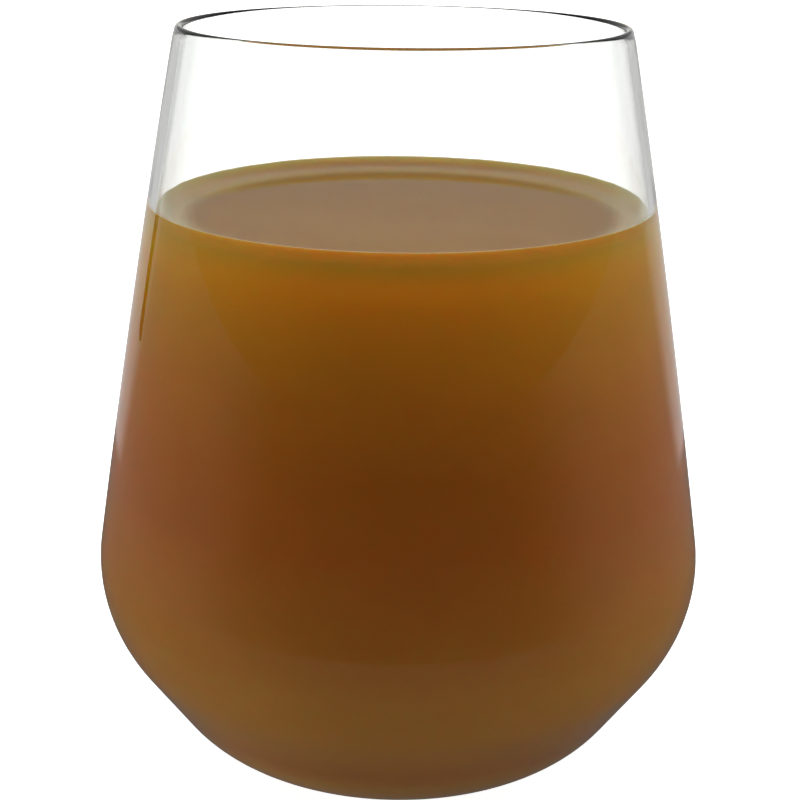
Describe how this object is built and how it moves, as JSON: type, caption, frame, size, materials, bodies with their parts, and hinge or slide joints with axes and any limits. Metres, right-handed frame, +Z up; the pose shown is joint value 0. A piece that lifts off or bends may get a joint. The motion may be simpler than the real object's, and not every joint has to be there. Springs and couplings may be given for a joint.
{
  "type": "glass of peach juice",
  "caption": "Clear stemless tumbler with a low rounded belly and narrow mouth, three quarters full of cloudy peach juice.",
  "frame": {"origin": "middle of the foot, on the surface that the glass stands on", "axes": "+Z up out of the mouth; both pieces are turned about Z, so X and Y are alike; the picture's camera looks along +Y and down"},
  "size_m": [0.092, 0.092, 0.11],
  "materials": {
    "glass": "clear, smooth and thin, fire-polished at the mouth",
    "juice": "cloudy yellow-brown liquid with a wet surface"
  },
  "bodies": {
    "root": {"glass": "glass", "juice": "juice"}
  },
  "joints": []
}
